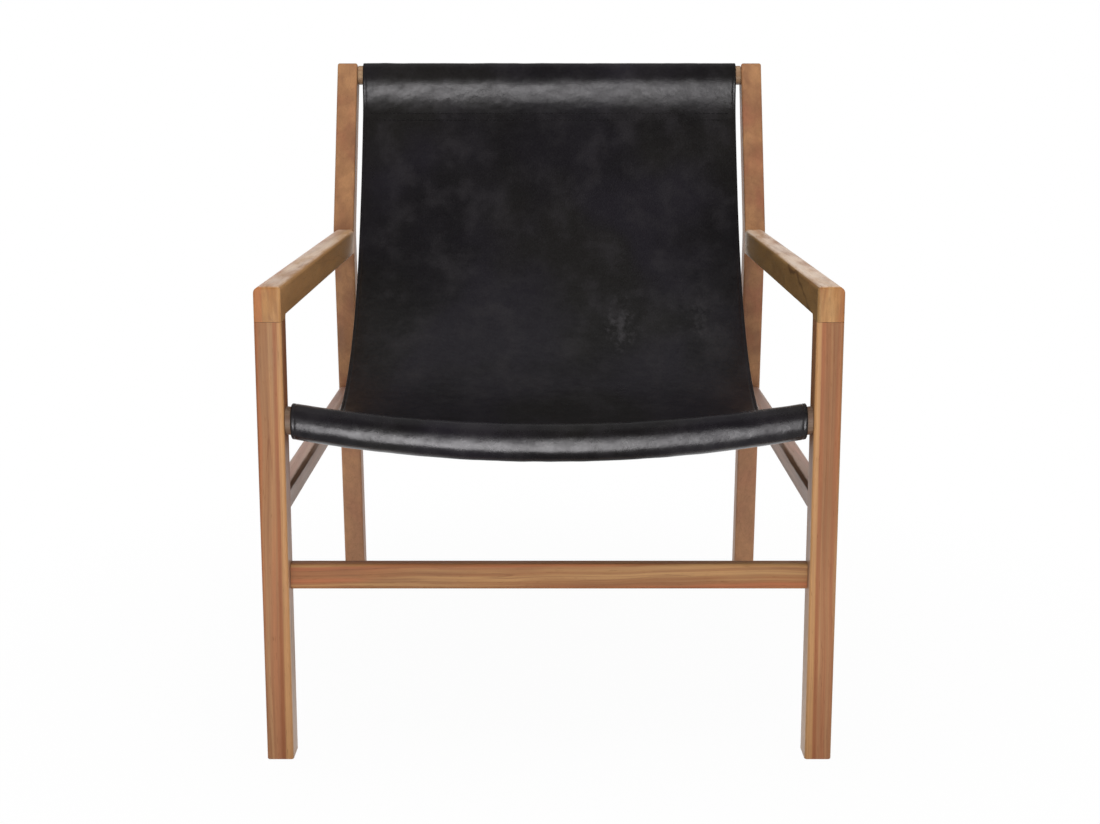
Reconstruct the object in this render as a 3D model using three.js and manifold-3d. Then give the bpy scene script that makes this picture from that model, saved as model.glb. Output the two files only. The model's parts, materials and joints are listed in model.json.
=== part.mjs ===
import * as THREE from "three";
import { mergeVertices } from "three/addons/utils/BufferGeometryUtils.js";
import Module from "manifold-3d";

const wasm = await Module();
wasm.setup();

// A low lounge chair: a rigid timber frame, and one thick hide slung between a bowed rail at
// the front of the seat and a straight rail at the top of the back. The hide ends in two sewn
// sleeves, and the rails pass through them.
// Millimetres, +Z up, floor at zero, the chair faces -Y. Left and right are the sitter's, so
// left is +X. Setbacks are measured from the front face of the front legs.

// Frame as a whole
const chairWidth = 640;
const uprightWidth = 30; // front legs, arms and back legs, across the chair
const easedEdge = 3; // rounding of every long edge of legs and arms
const endEase = 1.5; // rounding round the foot of a front leg
const cornerExtra = 0.8; // corners seen from the side are rounder than the edges by this
const glueLine = 0.3; // clearance between glued faces, and between hide and rail

// Front legs
const frontLegDepth = 35;

// Arms
const armTopHeight = 540;
const armThickness = 36;
const armLip = 3.3; // the front end reaches this far below the underside, round the leg's top
const armOuterRadius = 9; // top edge on the outside
const armInnerRadius = 5; // top edge on the sitter's side

// Back legs: one timber each, raked from floor to arm, reclined from arm to top
const kneeSetback = 715; // the front corner where rake turns to recline, level with the arm
const backLegThickness = 35;
const backLegRake = THREE.MathUtils.degToRad(5.64);
const backRecline = THREE.MathUtils.degToRad(22.15);
const backTopHeight = 783.6; // front corner of the top end
const kneeHollowRadius = 60; // the rear side of the knee is a sawn curve

// Side rails, flush with the outside of the legs. Heights under the arms are shares of the
// arms' height.
const sideRailHeight = 28.6;
const sideRailWidth = 22;
const sideRailTopShare = 0.5543;
const sideRailEdge = 5;

// Stretchers between the legs of one pair
const stretcherHeight = 28.8;
const stretcherDepth = 20;
const stretcherEdge = 4;
const frontStretcherBottomShare = 0.3641;
const frontStretcherSetback = 14;
const backStretcherBottomShare = 0.3981;

// Rail in the front sleeve: level at its ends, bowed downwards between them
const seatRailHeight = 31;
const seatRailDepth = 28;
const seatRailEdge = 12;
const seatRailCentreShare = 0.7217; // height of its centre at the legs
const seatRailDip = 24; // how much lower it runs in the middle

// Rail in the top sleeve, square to the reclined back legs
const topRailHeight = 27.5;
const topRailDepth = 22;
const topRailEdge = 9;
const topRailInset = 13.3; // from the back leg's top end down to the rail's centre

// Joints: blind tenons on every rail, blind dowels at both ends of an arm
const crossTenonLength = 18;
const crossTenonThickness = 11;
const seatTenonHeight = 21;
const topTenonHeight = 17;
const stretcherTenonHeight = 22;
const sideTenonLength = 20;
const sideTenonThickness = 10;
const sideTenonHeight = 20;
const tenonRootDepth = 6; // how far a tenon is carried back into its rail
const tenonRoundShare = 0.45; // corner radius of a tenon, as a share of its thickness
const mortiseSpare = 1; // room for glue past a tenon's or a dowel's end
const dowelRadius = 4;
const dowelLength = 44;
const dowelSpacing = 15;
const dowelChamfer = 1;

// Hide
const hideThickness = 3.5;
const hideSideGapFront = 6.6; // from the hide's edge to the leg beside it
const hideSideGapTop = 8;
const hideEdgeEase = 1.2;
const seatLowSetback = 345; // lowest point of the seat
const seatLowShare = 0.563; // its height
const seatDepart = THREE.MathUtils.degToRad(32.3); // slope at which the seat leaves the front rail
const backDepart = THREE.MathUtils.degToRad(15); // lean at which the back leaves the top rail
const sleeveSlack = 4; // the front sleeve hangs this far below its rail
const frontSleeveLength = 66; // from the rail to the seam, along the hide
const topSleeveLength = 58;
const seamAllowance = 22; // flap past the seam's start, sewn flat to the hide
const seamSink = 0.4; // how far the flap is pressed into the hide by its stitches
const seatFrontHandleShare = 0.394; // handles of the side profile's curves, as shares of the
const seatLowFrontHandleShare = 0.333; // distances that those curves span
const seatLowBackHandleShare = 0.62;
const backHandleShare = 0.46;
const tailHandleShare = 0.42;
const dipStartSetback = 20; // the hide follows the rail's bow up to here,
const dipEndSetback = 620; // and is level across the chair from here on

// Fineness of the faceted curves
const cornerFacets = 4; // on one rounded corner
const broadCornerFacets = 6;
const easeRings = 3;
const dowelFacets = 24;
const railSteps = 20;
const hideSteps = 7;
const hideProfileSteps = 24;
const hideLoopSteps = 4;
const hideTailSteps = 4;

// Places that several pieces share
const innerFace = chairWidth / 2 - uprightWidth; // sitter's side of legs and arms
const outerFace = chairWidth / 2;
const hideHalfWidthFront = innerFace - hideSideGapFront;
const hideHalfWidthTop = innerFace - hideSideGapTop;
const cornerRadius = easedEdge + cornerExtra;
const midUpright = (innerFace + outerFace) / 2;
const armUnderside = armTopHeight - armThickness;
const seatRailCentreHeight = armTopHeight * seatRailCentreShare;
const seatLowHeight = armTopHeight * seatLowShare;
const sideRailTop = armTopHeight * sideRailTopShare;
const frontStretcherBottom = armTopHeight * frontStretcherBottomShare;
const backStretcherBottom = armTopHeight * backStretcherBottomShare;
const armJoint = armUnderside - armLip; // top of the front leg
const overrun = armThickness; // how far a cut runs past what it cuts
const trimReach = 2 * chairWidth;
const right = new THREE.Vector3(1, 0, 0);
const back = new THREE.Vector3(0, 1, 0);
const up = new THREE.Vector3(0, 0, 1);

// Setback of the back legs' lower front face at a height
const backLegFront = (height) => kneeSetback + (armTopHeight - height) * Math.tan(backLegRake);

// Directions along and across the two stretches of a back leg, as [setback, height]
const rakeUp = new THREE.Vector2(-Math.sin(backLegRake), Math.cos(backLegRake));
const rakeBack = new THREE.Vector2(Math.cos(backLegRake), Math.sin(backLegRake));
const reclineUp = new THREE.Vector2(Math.sin(backRecline), Math.cos(backRecline));
const reclineBack = new THREE.Vector2(Math.cos(backRecline), -Math.sin(backRecline));

// A point moved by given amounts along given directions
function moved(point, ...pairs) {
  const result = point.clone();
  for (const [direction, amount] of pairs) result.addScaledVector(direction, amount);
  return result;
}

const kneeFront = new THREE.Vector2(kneeSetback, armTopHeight);
const topFront = moved(kneeFront, [
  reclineUp,
  (backTopHeight - armTopHeight) / Math.cos(backRecline),
]);
const topRailCentre = moved(
  topFront,
  [reclineUp, -topRailInset],
  [reclineBack, backLegThickness / 2],
);
const seatRailCentre = new THREE.Vector2(frontLegDepth / 2, seatRailCentreHeight);

// Geometry tools

// Outline through corners given as [x, y, radius]. A corner with no radius stays sharp.
function roundedOutline(corners, facets = cornerFacets) {
  const place = (i) => {
    const [x, y] = corners[(i + corners.length) % corners.length];
    return new THREE.Vector2(x, y);
  };
  const points = corners.flatMap(([, , radius], i) => {
    const corner = place(i);
    if (!radius) return [corner];
    const toBefore = place(i - 1).sub(corner).normalize();
    const toAfter = place(i + 1).sub(corner).normalize();
    const halfAngle = Math.acos(toBefore.dot(toAfter)) / 2;
    const run = radius / Math.tan(halfAngle);
    const bisector = toBefore.clone().add(toAfter).normalize();
    const centre = moved(corner, [bisector, radius / Math.sin(halfAngle)]);
    const start = moved(corner, [toBefore, run]).sub(centre).angle();
    const end = moved(corner, [toAfter, run]).sub(centre).angle();
    const clockwise = toBefore.cross(toAfter) > 0;
    const arc = new THREE.EllipseCurve(
      centre.x, centre.y, radius, radius, start, end, clockwise, 0,
    );
    return arc.getPoints(facets);
  });
  return new THREE.Shape(points);
}

// Rectangle centred on zero with all corners rounded alike
function roundedRectangle(width, height, radius, facets) {
  const [w, h] = [width / 2, height / 2];
  const corners = [
    [-w, -h, radius],
    [w, -h, radius],
    [w, h, radius],
    [-w, h, radius],
  ];
  return roundedOutline(corners, facets);
}

// Prism of an outline drawn on two axes. It runs along their cross product between two
// places, and both its ends are eased inside the outline.
function prism(outline, across, upward, from, to, options = {}) {
  const { ease = 0, steps = 1, rings = easeRings } = options;
  const geometry = new THREE.ExtrudeGeometry(outline, {
    depth: to - from - 2 * ease,
    steps,
    bevelEnabled: ease > 0,
    bevelThickness: ease,
    bevelSize: ease,
    bevelOffset: -ease,
    bevelSegments: rings,
  });
  geometry.translate(0, 0, from + ease);
  const along = new THREE.Vector3().crossVectors(across, upward);
  return geometry.applyMatrix4(new THREE.Matrix4().makeBasis(across, upward, along));
}

// Closed mesh as a solid that can be joined and cut
function solid(geometry) {
  geometry.deleteAttribute("normal");
  geometry.deleteAttribute("uv");
  const merged = mergeVertices(geometry);
  return new wasm.Manifold(
    new wasm.Mesh({
      numProp: 3,
      vertProperties: merged.attributes.position.array,
      triVerts: new Uint32Array(merged.index.array),
    }),
  );
}

// Named mesh of a solid
function piece(name, body, material) {
  const made = body.getMesh();
  const shared = new THREE.BufferGeometry();
  shared.setAttribute("position", new THREE.BufferAttribute(made.vertProperties, 3));
  shared.setIndex(new THREE.BufferAttribute(made.triVerts, 1));
  const geometry = shared.toNonIndexed();
  geometry.computeVertexNormals();
  const mesh = new THREE.Mesh(geometry, material);
  mesh.name = name;
  return mesh;
}

// Finishes

function timber(color) {
  return new THREE.MeshStandardMaterial({ color, roughness: 0.55, metalness: 0 });
}

const legTimber = timber(0xa87552);
const armTimber = timber(0xb48460);
const railTimber = timber(0x99714f);
const dowelTimber = timber(0xcdb38c);
const darkLeather = new THREE.MeshStandardMaterial({
  color: 0x262425,
  roughness: 0.45,
  metalness: 0,
});

// Joints

// Tenon, or the mortise that takes it, on a cross rail's left end. The rail's section is
// turned by `tilt` about its centre.
function crossTenon(centre, height, tilt, clearance, from, to) {
  const outline = roundedRectangle(
    crossTenonThickness + 2 * clearance,
    height + 2 * clearance,
    crossTenonThickness * tenonRoundShare + clearance,
  );
  const geometry = prism(outline, back, up, from, to);
  geometry.rotateX(tilt);
  return solid(geometry.translate(0, centre.x, centre.y));
}

function crossMortise(centre, height, tilt) {
  const end = innerFace + crossTenonLength + mortiseSpare;
  return crossTenon(centre, height, tilt, glueLine, innerFace - overrun, end);
}

// The tenons on both ends of a cross rail
function crossTenonPair(centre, height, tilt) {
  const root = innerFace - glueLine - tenonRootDepth;
  const tip = innerFace + crossTenonLength;
  return crossTenon(centre, height, tilt, 0, root, tip).add(
    crossTenon(centre, height, tilt, 0, -tip, -root),
  );
}

// Straight cross rail between the legs of one pair, or between the back legs' tops
function crossRail(centre, depth, height, edge, tenonHeight, tilt) {
  const half = innerFace - glueLine;
  const bar = prism(roundedRectangle(depth, height, edge), back, up, -half, half);
  bar.rotateX(tilt);
  bar.translate(0, centre.x, centre.y);
  return solid(bar).add(crossTenonPair(centre, tenonHeight, tilt));
}

// Side rail's tenon, or the mortise that takes it, between two setbacks
const sideRailCentre = {
  x: outerFace - sideRailWidth / 2,
  height: sideRailTop - sideRailHeight / 2,
};

function sideTenon(clearance, from, to) {
  const outline = roundedRectangle(
    sideTenonHeight + 2 * clearance,
    sideTenonThickness + 2 * clearance,
    sideTenonThickness * tenonRoundShare + clearance,
  );
  const geometry = prism(outline, up, right, from, to);
  return solid(geometry.translate(sideRailCentre.x, 0, sideRailCentre.height));
}

// Dowels at an arm's front end stand upright in the leg's top. Those at its rear end lie
// along the arm. Each place is the dowel's middle, where the two timbers meet.
const rearDowelHeight = armTopHeight - armThickness / 2;
const dowelPlaces = [-1, 1].flatMap((side) => {
  const offset = (side * dowelSpacing) / 2;
  const setback = frontLegDepth / 2 + offset;
  const height = rearDowelHeight + offset;
  return [
    { end: "front", upright: true, at: [midUpright, setback, armJoint] },
    { end: "rear", upright: false, at: [midUpright, backLegFront(height), height] },
  ];
});

function dowelBody(place, clearance) {
  const radius = dowelRadius + clearance;
  const half = dowelLength / 2 + (clearance > 0 ? mortiseSpare : 0);
  const profile = [
    [0, -half],
    [radius - dowelChamfer, -half],
    [radius, -half + dowelChamfer],
    [radius, half - dowelChamfer],
    [radius - dowelChamfer, half],
    [0, half],
  ].map(([x, y]) => new THREE.Vector2(x, y));
  const geometry = new THREE.LatheGeometry(profile, dowelFacets);
  if (place.upright) geometry.rotateX(Math.PI / 2);
  return solid(geometry.translate(...place.at));
}

const dowelHoles = (end) =>
  dowelPlaces.filter((place) => place.end === end).map((place) => dowelBody(place, glueLine));

// Frame timbers of the left side. The right side is their mirror image.

function cutAll(body, cutters) {
  return cutters.reduce((rest, cutter) => rest.subtract(cutter), body);
}

// Everything behind the back legs' raked front face, and the glue line in front of it
function behindBackLegs() {
  const geometry = new THREE.BoxGeometry(trimReach, trimReach, trimReach);
  geometry.translate(0, trimReach / 2 - glueLine, 0);
  geometry.rotateX(backLegRake);
  return solid(geometry.translate(0, kneeSetback, armTopHeight));
}

const frontStretcherCentre = new THREE.Vector2(
  frontStretcherSetback + stretcherDepth / 2,
  frontStretcherBottom + stretcherHeight / 2,
);
const backStretcherHeight = backStretcherBottom + stretcherHeight / 2;
const backStretcherCentre = moved(
  new THREE.Vector2(backLegFront(backStretcherHeight), backStretcherHeight),
  [rakeBack, backLegThickness / 2],
);

function frontLeg() {
  const section = roundedRectangle(uprightWidth, frontLegDepth, easedEdge);
  const bar = prism(section, right, back, 0, armJoint + overrun, { ease: endEase });
  bar.translate(midUpright, frontLegDepth / 2, 0);
  const above = new THREE.BoxGeometry(trimReach, trimReach, trimReach);
  above.translate(0, 0, trimReach / 2 + armJoint);
  return cutAll(solid(bar), [
    solid(above),
    ...dowelHoles("front"),
    crossMortise(seatRailCentre, seatTenonHeight, 0),
    crossMortise(frontStretcherCentre, stretcherTenonHeight, 0),
    sideTenon(glueLine, frontLegDepth - sideTenonLength - mortiseSpare, kneeSetback / 2),
  ]);
}

function backLeg() {
  const thickness = backLegThickness;
  const footFront = new THREE.Vector2(backLegFront(0), 0);
  const footBack = new THREE.Vector2(footFront.x + thickness / Math.cos(backLegRake), 0);
  const topBack = moved(topFront, [reclineBack, thickness]);
  // The rear faces of the two stretches meet on the line that halves the knee's angle.
  const halfTurn = (backLegRake + backRecline) / 2;
  const kneeAcross = rakeBack.clone().add(reclineBack).normalize();
  const kneeBack = moved(kneeFront, [kneeAcross, thickness / Math.cos(halfTurn)]);
  const outline = roundedOutline([
    [footFront.x, footFront.y, 0],
    [footBack.x, footBack.y, 0],
    [kneeBack.x, kneeBack.y, kneeHollowRadius],
    [topBack.x, topBack.y, cornerRadius],
    [topFront.x, topFront.y, cornerRadius],
    [kneeFront.x, kneeFront.y, 0],
  ]);
  const sideMortiseEnd =
    backLegFront(sideRailCentre.height) + sideTenonLength + mortiseSpare;
  return cutAll(solid(prism(outline, back, up, innerFace, outerFace, { ease: easedEdge })), [
    ...dowelHoles("rear"),
    crossMortise(topRailCentre, topTenonHeight, -backRecline),
    crossMortise(backStretcherCentre, stretcherTenonHeight, backLegRake),
    sideTenon(glueLine, kneeSetback / 2, sideMortiseEnd),
  ]);
}

function arm() {
  const rear = kneeSetback + backLegThickness;
  const low = armJoint - overrun;
  const sideView = roundedOutline([
    [0, low, 0],
    [0, armTopHeight, cornerRadius],
    [rear, armTopHeight, 0],
    [rear, armUnderside, 0],
    [frontLegDepth, armUnderside, armLip],
    [frontLegDepth, low, 0],
  ]);
  // The section seen from the front gives the top its two roundings.
  const section = roundedOutline(
    [
      [innerFace, low, 0],
      [outerFace, low, 0],
      [outerFace, armTopHeight, armOuterRadius],
      [innerFace, armTopHeight, armInnerRadius],
    ],
    broadCornerFacets,
  );
  const bar = solid(prism(sideView, back, up, innerFace, outerFace, { ease: easedEdge }));
  const rounding = prism(section, right, up, -rear, overrun);
  const below = new THREE.BoxGeometry(trimReach, trimReach, trimReach);
  below.translate(0, 0, armJoint + glueLine - trimReach / 2);
  return cutAll(bar.intersect(solid(rounding)), [
    solid(below),
    behindBackLegs(),
    ...dowelHoles("front"),
    ...dowelHoles("rear"),
  ]);
}

function sideRail() {
  const front = frontLegDepth + glueLine;
  const section = roundedRectangle(sideRailHeight, sideRailWidth, sideRailEdge);
  const bar = prism(section, up, right, front, kneeSetback + backLegThickness);
  bar.translate(sideRailCentre.x, 0, sideRailCentre.height);
  const rearFace = backLegFront(sideRailCentre.height);
  const frontTip = frontLegDepth - sideTenonLength;
  const rearRoot = backLegFront(sideRailTop) - glueLine - tenonRootDepth;
  return solid(bar)
    .subtract(behindBackLegs())
    .add(sideTenon(0, frontTip, front + tenonRootDepth))
    .add(sideTenon(0, rearRoot, rearFace + sideTenonLength));
}

// Bowed seat rail and the hide that follows it

// How far the bow lies below its ends at a distance from the chair's middle
function dipAt(x) {
  const radius = (innerFace ** 2 + seatRailDip ** 2) / (2 * seatRailDip);
  return Math.sqrt(radius ** 2 - x ** 2) - (radius - seatRailDip);
}

// Lowers every vertex by the bow, or by a share of it that depends on the setback
function bowed(geometry, shareAt) {
  const places = geometry.attributes.position;
  for (let i = 0; i < places.count; i++) {
    const drop = dipAt(places.getX(i)) * shareAt(places.getY(i));
    places.setZ(i, places.getZ(i) - drop);
  }
  return geometry;
}

function seatRail() {
  const section = roundedRectangle(seatRailDepth, seatRailHeight, seatRailEdge);
  const half = innerFace - glueLine;
  const bar = prism(section, back, up, -half, half, { steps: railSteps });
  bar.translate(0, seatRailCentre.x, seatRailCentre.y);
  return solid(bowed(bar, () => 1)).add(crossTenonPair(seatRailCentre, seatTenonHeight, 0));
}

// Polyline round an arc about a centre, between two bearings, both ends included
function arcPoints(centre, radius, fromBearing, toBearing, steps = hideLoopSteps) {
  return Array.from({ length: steps + 1 }, (_, i) => {
    const bearing = fromBearing + ((toBearing - fromBearing) * i) / steps;
    const spoke = new THREE.Vector2(Math.cos(bearing), Math.sin(bearing));
    return moved(centre, [spoke, radius]);
  });
}

// Side view of the hide. The middle of its thickness follows a smooth path from the front
// rail, down into the seat and up to the top rail, and each sleeve wraps its rail.
function hideOutline() {
  const half = hideThickness / 2;
  const boreClear = glueLine; // bore's distance from the rail's surface
  const middle = boreClear + half;

  // Centres of the rounded corners of the two rails
  const frontAcross = seatRailDepth / 2 - seatRailEdge;
  const frontUp = seatRailHeight / 2 - seatRailEdge;
  const frontCorner = (across, upward) =>
    moved(seatRailCentre, [new THREE.Vector2(1, 0), across], [new THREE.Vector2(0, 1), upward]);
  const frontTopBack = frontCorner(frontAcross, frontUp);
  const frontTopFront = frontCorner(-frontAcross, frontUp);
  const frontLowFront = frontCorner(-frontAcross, -frontUp - sleeveSlack);
  const topAcross = topRailDepth / 2 - topRailEdge;
  const topUp = topRailHeight / 2 - topRailEdge;
  const topCorner = (across, upward) =>
    moved(topRailCentre, [reclineBack, across], [reclineUp, upward]);
  const topLowFront = topCorner(-topAcross, -topUp);
  const topHighFront = topCorner(-topAcross, topUp);
  const topHighBack = topCorner(topAcross, topUp);
  const topLowBack = topCorner(topAcross, -topUp);

  // Bearings from a rail's corner centre to where the hide leaves it
  const seatBearing = Math.PI / 2 - seatDepart;
  const backBearing = Math.PI - backDepart;
  const reclineBearing = Math.PI - backRecline;

  // Path of the hide between the rails
  const at = (centre, radius, bearing) =>
    moved(centre, [new THREE.Vector2(Math.cos(bearing), Math.sin(bearing)), radius]);
  const start = at(frontTopBack, seatRailEdge + middle, seatBearing);
  const end = at(topLowFront, topRailEdge + middle, backBearing);
  const low = new THREE.Vector2(seatLowSetback, seatLowHeight);
  const startWay = new THREE.Vector2(Math.cos(seatDepart), -Math.sin(seatDepart));
  const endWay = new THREE.Vector2(Math.sin(backDepart), Math.cos(backDepart));
  const level = new THREE.Vector2(1, 0);
  const path = new THREE.CurvePath();
  path.add(
    new THREE.CubicBezierCurve(
      start,
      moved(start, [startWay, seatFrontHandleShare * (low.x - start.x)]),
      moved(low, [level, -seatLowFrontHandleShare * (low.x - start.x)]),
      low,
    ),
  );
  path.add(
    new THREE.CubicBezierCurve(
      low,
      moved(low, [level, seatLowBackHandleShare * (end.x - low.x)]),
      moved(end, [endWay, -backHandleShare * (end.y - low.y)]),
      end,
    ),
  );
  const length = path.getLength();
  const beside = (distance, offset) => {
    const share = THREE.MathUtils.clamp(distance / length, 0, 1);
    const way = path.getTangent(share);
    return moved(path.getPoint(share), [new THREE.Vector2(-way.y, way.x), offset]);
  };
  const stretch = (from, to, offset) => {
    const count = Math.max(1, Math.round((hideProfileSteps * Math.abs(to - from)) / length));
    return Array.from({ length: count + 1 }, (_, i) =>
      beside(from + ((to - from) * i) / count, offset),
    );
  };

  // A tail runs from where the hide has gone round its rail to the seam, and then lies flat
  // along the hide. It is drawn at an offset from its middle, like the hide itself.
  const flapOffset = -(hideThickness - seamSink);
  const tail = (from, way, seamAt, sense, offset) => {
    const landing = beside(seamAt, flapOffset + offset);
    const landingWay = path.getTangent(seamAt / length).multiplyScalar(sense);
    const reach = from.distanceTo(landing) * tailHandleShare;
    const curve = new THREE.CubicBezierCurve(
      from,
      moved(from, [way, reach]),
      moved(landing, [landingWay, -reach]),
      landing,
    );
    return curve.getPoints(hideTailSteps);
  };

  // Round the front rail, from over its top to under it, at a distance from its surface
  const frontWrap = (distance) => [
    ...arcPoints(frontTopBack, seatRailEdge + distance, seatBearing, Math.PI / 2),
    ...arcPoints(frontTopFront, seatRailEdge + distance, Math.PI / 2, Math.PI),
    ...arcPoints(frontLowFront, seatRailEdge + distance, Math.PI, 1.5 * Math.PI),
  ];
  // Round the top rail, from its front over its top to its back
  const topWrap = (distance) => [
    ...arcPoints(topLowFront, topRailEdge + distance, backBearing, reclineBearing, 1),
    ...arcPoints(topHighFront, topRailEdge + distance, reclineBearing, Math.PI / 2 - backRecline),
    ...arcPoints(topHighBack, topRailEdge + distance, Math.PI / 2 - backRecline, -backRecline),
    at(topLowBack, topRailEdge + distance, -backRecline),
  ];

  const frontSeam = frontSleeveLength;
  const topSeam = length - topSleeveLength;
  const frontOuter = frontWrap(middle + half);
  const frontBore = frontWrap(middle - half);
  const topOuter = topWrap(middle + half);
  const topBore = topWrap(middle - half);
  const down = reclineUp.clone().negate();
  const frontTail = (wrap, offset) => tail(wrap.at(-1), level, frontSeam, 1, offset);
  const topTail = (wrap, offset) => tail(wrap.at(-1), down, topSeam, -1, offset);

  const outline = new THREE.Shape([
    ...stretch(0, length, half).slice(0, -1),
    ...topOuter,
    ...topTail(topOuter, -half).slice(1),
    beside(topSeam - seamAllowance, flapOffset - half),
    ...stretch(topSeam - seamAllowance, frontSeam + seamAllowance, -half),
    beside(frontSeam + seamAllowance, flapOffset - half),
    ...frontTail(frontOuter, -half).reverse(),
    ...frontOuter.slice(1, -1).reverse(),
  ]);
  // The holes run the opposite way round from the outline.
  const frontHole = [
    ...frontBore,
    ...frontTail(frontBore, half).slice(1, -1),
    ...stretch(frontSeam, 0, -half).slice(0, -1),
  ];
  const topHole = [
    ...stretch(topSeam, length, -half).slice(0, -1),
    ...topBore,
    ...topTail(topBore, half).slice(1, -1),
  ].reverse();
  outline.holes.push(new THREE.Path(frontHole), new THREE.Path(topHole));
  return outline;
}

function sling() {
  const half = hideHalfWidthFront;
  const geometry = prism(hideOutline(), back, up, -half, half, {
    ease: hideEdgeEase,
    steps: hideSteps,
    rings: 1,
  });
  // The hide is cut a little narrower towards its top.
  const places = geometry.attributes.position;
  for (let i = 0; i < places.count; i++) {
    const share = places.getY(i) / topRailCentre.x;
    const width = THREE.MathUtils.lerp(1, hideHalfWidthTop / hideHalfWidthFront, share);
    places.setX(i, places.getX(i) * width);
  }
  // Across the chair it sags with the front rail's bow, which fades out along the seat.
  const fade = (setback) => {
    const share = (setback - dipStartSetback) / (dipEndSetback - dipStartSetback);
    return (1 + Math.cos(Math.PI * THREE.MathUtils.clamp(share, 0, 1))) / 2;
  };
  return solid(bowed(geometry, fade));
}

// Assembly

const frame = new THREE.Group();

for (const [side, mirror] of [
  ["left", 1],
  ["right", -1],
]) {
  const half = new THREE.Group();
  half.scale.x = mirror;
  half.add(
    piece(`front_leg_${side}`, frontLeg(), legTimber),
    piece(`arm_${side}`, arm(), armTimber),
    piece(`back_leg_${side}`, backLeg(), legTimber),
    piece(`side_rail_${side}`, sideRail(), railTimber),
  );
  dowelPlaces.forEach((place, i) => {
    const name = `arm_dowel_${place.end}_${side}_${i < 2 ? "a" : "b"}`;
    half.add(piece(name, dowelBody(place, 0), dowelTimber));
  });
  frame.add(half);
}

const stretcher = (centre, tilt) =>
  crossRail(centre, stretcherDepth, stretcherHeight, stretcherEdge, stretcherTenonHeight, tilt);

frame.add(
  piece("front_stretcher", stretcher(frontStretcherCentre, 0), railTimber),
  piece("back_stretcher", stretcher(backStretcherCentre, backLegRake), railTimber),
  piece("seat_front_rail", seatRail(), railTimber),
  piece(
    "top_rail",
    crossRail(
      topRailCentre,
      topRailDepth,
      topRailHeight,
      topRailEdge,
      topTenonHeight,
      -backRecline,
    ),
    railTimber,
  ),
  piece("sling", sling(), darkLeather),
);

// The chair stands with the middle of its depth over the origin.
const extent = new THREE.Box3().setFromObject(frame);
frame.position.y = -(extent.min.y + extent.max.y) / 2;

const chair = new THREE.Group();
chair.add(frame);

export default chair;
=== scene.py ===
# %% [markdown]
# # A leather sling lounge chair
# This lesson dresses a finished CAD model of a low lounge chair: oiled timber legs, arms and
# rails, and one thick dark hide that hangs between two rails as seat and back. The CAD model is
# the frame. Its timbers keep their shapes and get a finish here. Only the hide is made again,
# because leather needs a softer surface than a CAD solid has.

# %% Open the frame
import bpy
import bmesh
import json
import math
import numpy as np
from mathutils import Euler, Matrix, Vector, noise

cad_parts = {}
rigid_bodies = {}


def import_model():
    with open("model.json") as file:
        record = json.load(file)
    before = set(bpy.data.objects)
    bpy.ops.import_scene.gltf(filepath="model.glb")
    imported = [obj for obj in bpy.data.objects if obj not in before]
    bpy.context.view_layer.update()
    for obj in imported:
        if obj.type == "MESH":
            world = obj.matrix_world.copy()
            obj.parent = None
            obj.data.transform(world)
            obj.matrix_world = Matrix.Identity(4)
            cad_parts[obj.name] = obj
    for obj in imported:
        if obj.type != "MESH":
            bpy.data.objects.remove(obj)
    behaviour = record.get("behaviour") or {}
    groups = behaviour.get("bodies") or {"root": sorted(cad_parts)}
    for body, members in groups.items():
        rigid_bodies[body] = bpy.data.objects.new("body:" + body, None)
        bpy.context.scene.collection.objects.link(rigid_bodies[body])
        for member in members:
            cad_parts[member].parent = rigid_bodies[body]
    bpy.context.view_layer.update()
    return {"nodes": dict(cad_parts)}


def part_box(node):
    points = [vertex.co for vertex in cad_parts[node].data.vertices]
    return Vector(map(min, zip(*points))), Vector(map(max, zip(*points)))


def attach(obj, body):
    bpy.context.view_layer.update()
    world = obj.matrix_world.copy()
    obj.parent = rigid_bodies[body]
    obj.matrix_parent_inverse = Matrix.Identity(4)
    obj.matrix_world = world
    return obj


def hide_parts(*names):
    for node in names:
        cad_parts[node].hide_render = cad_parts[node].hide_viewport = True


for leftover in list(bpy.data.objects):
    bpy.data.objects.remove(leftover)
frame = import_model()
mm = 0.001
print("timbers and hide in the frame:", len(frame["nodes"]))

# %% [markdown]
# ## The camera
# The photograph was taken from the front, about 1.9 m before the front legs and a little lower
# than the top of the back, so both arms are seen slightly from above. The distance matters more
# than the lens: it decides how much smaller the back looks than the front. The legs' vertical
# edges and the arms' vanishing lines give the height, the distance and the downward tilt.

# %% Place the camera
front_face_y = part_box("front_leg_left")[0].y
camera_before_legs = 1866 * mm
camera_height = 760 * mm
camera_off_middle = 1 * mm
camera_tilt_down = 10.857
picture_width_px = 1100
focal_length_px = 1739
into_scene = bpy.context.scene.collection.objects.link

view_camera = bpy.data.cameras.new("view_camera")
view_camera.sensor_width = 36
view_camera.lens = focal_length_px * view_camera.sensor_width / picture_width_px
camera = bpy.data.objects.new("view_camera", view_camera)
camera.location = (camera_off_middle, front_face_y - camera_before_legs, camera_height)
camera.rotation_euler = (math.radians(90 - camera_tilt_down), 0, 0)
into_scene(camera)
bpy.context.scene.camera = camera
print("camera", tuple(round(c, 3) for c in camera.location), "lens", round(view_camera.lens, 2))

# %% [markdown]
# ## Small helpers for node materials
# A procedural material is a chain of many small nodes. Writing each one in a single line keeps
# the later cells short. The first helper adds any node, sets its values and plugs in what feeds
# it. The others are the steps that come back in every material: sums, soft steps and mixtures.


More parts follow.
